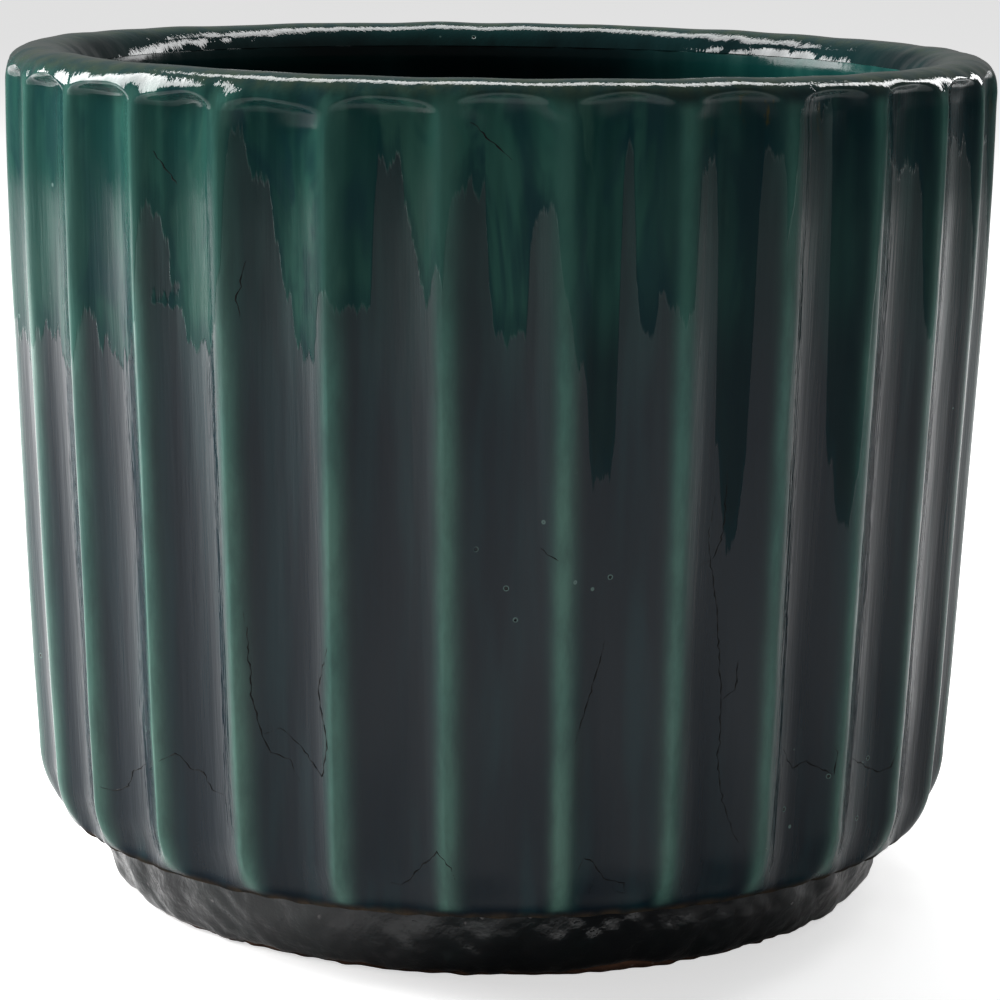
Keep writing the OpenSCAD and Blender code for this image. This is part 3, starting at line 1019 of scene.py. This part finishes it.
# object, material, slot, CAD node it replaces
for obj, material, slot, node in (
        (outer, glaze, "glaze_green", "outer_glaze"),
        (cavity, inside_glaze, "glaze_inside", "inner_glaze"),
        (foot_glaze, low_glaze, "glaze_foot", "foot_glaze"),
        (wall, clay, "terracotta", "body_wall"),
        (rim, clay, "terracotta", "rim_band"),
        (floor_slab, clay, "terracotta", "floor_slab"),
        (foot_ring, clay, "terracotta", "foot_ring"),
        (cracks, crack_material(), "glaze_green", None)):
    obj.data.materials.append(material)
    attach(obj, body)
    if node:
        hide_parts(node)


# ---------------------------------------------------------------- stage
def build_studio_floor(half=60.0, camera_glow=0.62):
    """A plain pale floor. The camera alone sees it lifted by the glow."""
    mesh = bpy.data.meshes.new("floor")
    mesh.from_pydata([(-half, -half, 0), (half, -half, 0), (half, half, 0), (-half, half, 0)],
                     [], [(0, 1, 2, 3)])
    floor = link_object("studio_floor", mesh)
    m = Mat("studio_floor")
    m.set(Base_Color=(0.80, 0.80, 0.80), Roughness=0.9, Specular_IOR_Level=0.0)
    glow = m.node("ShaderNodeEmission")
    is_camera = m.node("ShaderNodeLightPath").outputs["Is Camera Ray"]
    m.put(glow.inputs["Strength"], m.mul(is_camera, camera_glow))
    both = m.fill(m.node("ShaderNodeAddShader"), m.bsdf.outputs[0], glow.outputs[0])
    m.put(m.out.inputs[0], both)
    mesh.materials.append(m.material)


def build_world(light=0.16, camera_extra=0.74):
    """White surroundings that the camera alone sees brighter."""
    world = bpy.data.worlds.new("studio")
    bpy.context.scene.world = world
    world.use_nodes = True
    nodes, links = world.node_tree.nodes, world.node_tree.links
    nodes.clear()
    out = nodes.new("ShaderNodeOutputWorld")
    background = nodes.new("ShaderNodeBackground")
    links.new(background.outputs[0], out.inputs[0])
    background.inputs["Color"].default_value = (1.0, 1.0, 1.0, 1)
    strength = nodes.new("ShaderNodeMath")
    strength.operation = "MULTIPLY_ADD"
    is_camera = nodes.new("ShaderNodeLightPath").outputs["Is Camera Ray"]
    links.new(is_camera, strength.inputs[0])
    strength.inputs[1].default_value = camera_extra
    strength.inputs[2].default_value = light
    links.new(strength.outputs[0], background.inputs["Strength"])


def softbox(name, azimuth, elevation, distance, wide, tall, power):
    """A rectangular soft light facing the pot; azimuth 0 is the front, 90 the right (+X)."""
    light = bpy.data.lights.new(name, "AREA")
    light.shape = "RECTANGLE"
    light.size, light.size_y, light.energy = wide, tall, power
    obj = bpy.data.objects.new(name, light)
    a, e = math.radians(azimuth), math.radians(elevation)
    toward = Vector((math.sin(a) * math.cos(e), -math.cos(a) * math.cos(e), math.sin(e)))
    obj.location = toward * distance + Vector((0, 0, 0.17))
    obj.rotation_euler = toward.to_track_quat("Z", "Y").to_euler()
    bpy.context.scene.collection.objects.link(obj)
    obj.visible_camera = False


def build_camera():
    data = bpy.data.cameras.new("camera")
    data.sensor_width = SENSOR_W
    data.lens = CAMERA_LENS
    data.clip_end = 100
    camera = bpy.data.objects.new("camera", data)
    rows = [(right[i], up[i], -forward[i], CAMERA_AT[i]) for i in range(3)]
    camera.matrix_world = Matrix((*rows, (0, 0, 0, 1)))
    bpy.context.scene.collection.objects.link(camera)
    bpy.context.scene.camera = camera


build_studio_floor()
build_world()
softbox("soft_left", azimuth=-105, elevation=30, distance=2.3, wide=1.3, tall=1.8, power=130)
softbox("soft_right", azimuth=133, elevation=30, distance=2.3, wide=0.5, tall=1.6, power=26)
softbox("soft_back", azimuth=180, elevation=56, distance=3.0, wide=2.4, tall=0.9, power=55)
build_camera()
bpy.context.scene.view_settings.view_transform = "Standard"
bpy.context.scene.view_settings.look = "None"
